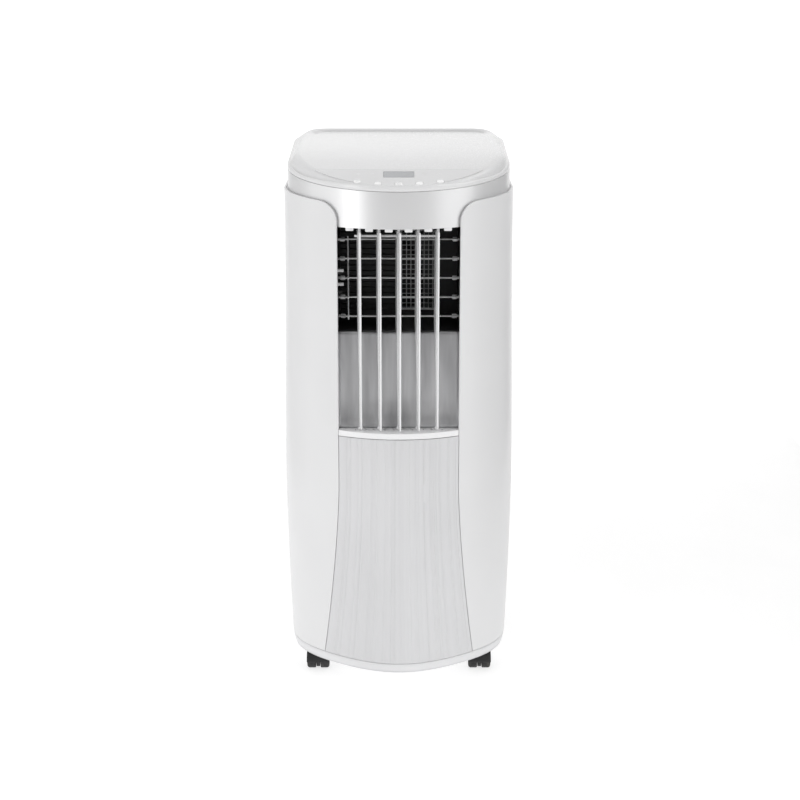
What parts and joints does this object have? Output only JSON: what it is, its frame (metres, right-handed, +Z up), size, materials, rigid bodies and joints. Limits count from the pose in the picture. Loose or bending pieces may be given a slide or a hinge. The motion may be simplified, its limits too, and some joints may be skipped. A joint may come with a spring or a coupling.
{
  "type": "portable air conditioner",
  "caption": "Upright rolling room air conditioner with a louvered front outlet, top controls, rear intake filter grilles, a round exhaust collar and twin-wheel casters.",
  "frame": {"origin": "on the floor, under the middle of the machine's bounding box", "axes": "+Z up along the height, the air outlet faces -Y, the exhaust collar points to +Y, +X is to the right of a person who looks at the outlet"},
  "size_m": [0.377, 0.405, 0.873],
  "materials": {
    "white_shell": "semi-gloss moulded white plastic, very fine texture",
    "pearl_band": "satin silver-pearl paint on plastic",
    "silver_panel": "satin silver-grey paint, fine grain",
    "striated_panel": "light grey plastic with fine vertical striations",
    "light_grey": "satin moulded plastic",
    "grey_plastic": "plain grey polypropylene, lightly textured",
    "black_plastic": "matt black moulded plastic",
    "display": "smooth tinted display window",
    "tyre": "hard black tread, slightly scuffed",
    "black_rubber": "matt soft rubber",
    "coil_aluminium": "bare aluminium fins, finely ribbed",
    "copper": "drawn copper tube, lightly oxidised",
    "zinc_steel": "zinc plated sheet",
    "black_steel": "black enamelled pressed steel",
    "circuit_board": "green solder mask with small components"
  },
  "bodies": {
    "cabinet": {"side_panel_left": "white_shell", "side_panel_right": "white_shell", "rear_panel": "white_shell", "top_cover": "white_shell", "vane_ledge": "white_shell", "exhaust_collar": "white_shell", "cord_wrap_bracket": "white_shell", "upper_front_band": "pearl_band", "deflector_panel": "silver_panel", "lower_front_panel": "striated_panel", "base_tray": "light_grey", "control_panel": "light_grey", "evaporator_scroll": "grey_plastic", "condenser_scroll": "grey_plastic", "drain_deck": "grey_plastic", "electrical_box": "grey_plastic", "outlet_guard": "grey_plastic", "outlet_duct": "black_plastic", "display_window": "display", "evaporator": "coil_aluminium", "condenser": "coil_aluminium", "suction_pipe": "copper", "discharge_pipe": "copper", "louver_motor": "zinc_steel", "evaporator_motor": "zinc_steel", "condenser_motor": "zinc_steel", "compressor": "black_steel", "control_board": "circuit_board", "cord_gland": "black_rubber"},
    "vane_1": {"vane_1": "white_shell"},
    "vane_2": {"vane_2": "white_shell"},
    "vane_3": {"vane_3": "white_shell"},
    "vane_4": {"vane_4": "white_shell"},
    "vane_5": {"vane_5": "white_shell"},
    "vane_link": {"vane_link_bar": "light_grey"},
    "louver_1": {"louver_1": "white_shell"},
    "louver_2": {"louver_2": "white_shell"},
    "louver_3": {"louver_3": "white_shell"},
    "louver_4": {"louver_4": "white_shell"},
    "louver_5": {"louver_5": "white_shell"},
    "louver_link": {"louver_link_rod": "white_shell"},
    "button_1": {"button_1": "white_shell"},
    "button_2": {"button_2": "white_shell"},
    "button_3": {"button_3": "white_shell"},
    "button_4": {"button_4": "white_shell"},
    "button_5": {"button_5": "white_shell"},
    "evaporator_wheel": {"evaporator_wheel": "black_plastic"},
    "condenser_wheel": {"condenser_wheel": "black_plastic"},
    "upper_filter": {"upper_filter_grille": "white_shell"},
    "lower_filter": {"lower_filter_grille": "white_shell"},
    "drain_plug_upper": {"drain_plug_upper": "black_rubber"},
    "drain_plug_lower": {"drain_plug_lower": "black_rubber"},
    "caster_swivel_front_left": {"caster_hood_front_left": "black_plastic"},
    "caster_roll_front_left": {"caster_wheels_front_left": "tyre"},
    "caster_swivel_front_right": {"caster_hood_front_right": "black_plastic"},
    "caster_roll_front_right": {"caster_wheels_front_right": "tyre"},
    "caster_swivel_rear_left": {"caster_hood_rear_left": "black_plastic"},
    "caster_roll_rear_left": {"caster_wheels_rear_left": "tyre"},
    "caster_swivel_rear_right": {"caster_hood_rear_right": "black_plastic"},
    "caster_roll_rear_right": {"caster_wheels_rear_right": "tyre"}
  },
  "joints": [
    {"name": "vane_1_swing", "type": "hinge", "parent": "cabinet", "child": "vane_1", "pos_m": [-0.06, -0.176, 0.6], "axis": [0, 0, 1], "range_deg": [-53, 37]},
    {"name": "vane_2_swing", "type": "hinge", "parent": "cabinet", "child": "vane_2", "pos_m": [-0.03, -0.176, 0.6], "axis": [0, 0, 1], "range_deg": [-53, 37]},
    {"name": "vane_3_swing", "type": "hinge", "parent": "cabinet", "child": "vane_3", "pos_m": [0, -0.176, 0.6], "axis": [0, 0, 1], "range_deg": [-53, 37]},
    {"name": "vane_4_swing", "type": "hinge", "parent": "cabinet", "child": "vane_4", "pos_m": [0.03, -0.176, 0.6], "axis": [0, 0, 1], "range_deg": [-53, 37]},
    {"name": "vane_5_swing", "type": "hinge", "parent": "cabinet", "child": "vane_5", "pos_m": [0.06, -0.176, 0.6], "axis": [0, 0, 1], "range_deg": [-53, 37]},
    {"name": "vane_link_turn", "type": "hinge", "parent": "vane_3", "child": "vane_link", "pos_m": [-0.0025, -0.15818, 0.743], "axis": [0, 0, 1], "range_deg": [-37, 53]},
    {"name": "louver_1_tilt", "type": "hinge", "parent": "cabinet", "child": "louver_1", "pos_m": [0, -0.118, 0.731], "axis": [1, 0, 0], "range_deg": [-40, 50]},
    {"name": "louver_2_tilt", "type": "hinge", "parent": "cabinet", "child": "louver_2", "pos_m": [0, -0.118, 0.7003], "axis": [1, 0, 0], "range_deg": [-40, 50]},
    {"name": "louver_3_tilt", "type": "hinge", "parent": "cabinet", "child": "louver_3", "pos_m": [0, -0.118, 0.6696], "axis": [1, 0, 0], "range_deg": [-40, 50]},
    {"name": "louver_4_tilt", "type": "hinge", "parent": "cabinet", "child": "louver_4", "pos_m": [0, -0.118, 0.6389], "axis": [1, 0, 0], "range_deg": [-40, 50]},
    {"name": "louver_5_tilt", "type": "hinge", "parent": "cabinet", "child": "louver_5", "pos_m": [0, -0.118, 0.6082], "axis": [1, 0, 0], "range_deg": [-40, 50]},
    {"name": "louver_link_turn", "type": "hinge", "parent": "louver_3", "child": "louver_link", "pos_m": [-0.079, -0.13474, 0.67255], "axis": [1, 0, 0], "range_deg": [-50, 40]},
    {"name": "button_1_press", "type": "slide", "parent": "cabinet", "child": "button_1", "axis": [0, 0.2607, -0.9654], "range_m": [0, 0.0009], "stiffness_N_per_m": 500, "springref_m": -0.0002},
    {"name": "button_2_press", "type": "slide", "parent": "cabinet", "child": "button_2", "axis": [0, 0.2607, -0.9654], "range_m": [0, 0.0009], "stiffness_N_per_m": 500, "springref_m": -0.0002},
    {"name": "button_3_press", "type": "slide", "parent": "cabinet", "child": "button_3", "axis": [0, 0.2607, -0.9654], "range_m": [0, 0.0009], "stiffness_N_per_m": 500, "springref_m": -0.0002},
    {"name": "button_4_press", "type": "slide", "parent": "cabinet", "child": "button_4", "axis": [0, 0.2607, -0.9654], "range_m": [0, 0.0009], "stiffness_N_per_m": 500, "springref_m": -0.0002},
    {"name": "button_5_press", "type": "slide", "parent": "cabinet", "child": "button_5", "axis": [0, 0.2607, -0.9654], "range_m": [0, 0.0009], "stiffness_N_per_m": 500, "springref_m": -0.0002},
    {"name": "evaporator_fan_spin", "type": "hinge", "parent": "cabinet", "child": "evaporator_wheel", "pos_m": [-0.038, 0.02, 0.64], "axis": [0, 1, 0], "continuous": true},
    {"name": "condenser_fan_spin", "type": "hinge", "parent": "cabinet", "child": "condenser_wheel", "pos_m": [0.062, 0.02, 0.218], "axis": [0, 1, 0], "continuous": true},
    {"name": "upper_filter_pull", "type": "slide", "parent": "cabinet", "child": "upper_filter", "axis": [0, 1, 0], "range_m": [0, 0.05]},
    {"name": "lower_filter_pull", "type": "slide", "parent": "cabinet", "child": "lower_filter", "axis": [0, 1, 0], "range_m": [0, 0.05]},
    {"name": "drain_plug_upper_pull", "type": "slide", "parent": "cabinet", "child": "drain_plug_upper", "axis": [0, 1, 0], "range_m": [0, 0.03]},
    {"name": "drain_plug_lower_pull", "type": "slide", "parent": "cabinet", "child": "drain_plug_lower", "axis": [0, 1, 0], "range_m": [0, 0.03]},
    {"name": "caster_front_left_swivel", "type": "hinge", "parent": "cabinet", "child": "caster_swivel_front_left", "pos_m": [-0.1355, -0.102, 0.044], "axis": [0, 0, 1], "continuous": true},
    {"name": "caster_front_left_roll", "type": "hinge", "parent": "caster_swivel_front_left", "child": "caster_roll_front_left", "pos_m": [-0.1355, -0.11, 0.014], "axis": [1, 0, 0], "continuous": true},
    {"name": "caster_front_right_swivel", "type": "hinge", "parent": "cabinet", "child": "caster_swivel_front_right", "pos_m": [0.1355, -0.102, 0.044], "axis": [0, 0, 1], "continuous": true},
    {"name": "caster_front_right_roll", "type": "hinge", "parent": "caster_swivel_front_right", "child": "caster_roll_front_right", "pos_m": [0.1355, -0.11, 0.014], "axis": [1, 0, 0], "continuous": true},
    {"name": "caster_rear_left_swivel", "type": "hinge", "parent": "cabinet", "child": "caster_swivel_rear_left", "pos_m": [-0.1355, 0.112, 0.044], "axis": [0, 0, 1], "continuous": true},
    {"name": "caster_rear_left_roll", "type": "hinge", "parent": "caster_swivel_rear_left", "child": "caster_roll_rear_left", "pos_m": [-0.1355, 0.104, 0.014], "axis": [1, 0, 0], "continuous": true},
    {"name": "caster_rear_right_swivel", "type": "hinge", "parent": "cabinet", "child": "caster_swivel_rear_right", "pos_m": [0.1355, 0.112, 0.044], "axis": [0, 0, 1], "continuous": true},
    {"name": "caster_rear_right_roll", "type": "hinge", "parent": "caster_swivel_rear_right", "child": "caster_roll_rear_right", "pos_m": [0.1355, 0.104, 0.014], "axis": [1, 0, 0], "continuous": true}
  ],
  "couplings": [
    {"joint": "vane_2_swing", "follows": "vane_1_swing", "ratio": 1},
    {"joint": "vane_3_swing", "follows": "vane_1_swing", "ratio": 1},
    {"joint": "vane_4_swing", "follows": "vane_1_swing", "ratio": 1},
    {"joint": "vane_5_swing", "follows": "vane_1_swing", "ratio": 1},
    {"joint": "vane_link_turn", "follows": "vane_1_swing", "ratio": -1},
    {"joint": "louver_2_tilt", "follows": "louver_1_tilt", "ratio": 1},
    {"joint": "louver_3_tilt", "follows": "louver_1_tilt", "ratio": 1},
    {"joint": "louver_4_tilt", "follows": "louver_1_tilt", "ratio": 1},
    {"joint": "louver_5_tilt", "follows": "louver_1_tilt", "ratio": 1},
    {"joint": "louver_link_turn", "follows": "louver_1_tilt", "ratio": -1}
  ]
}
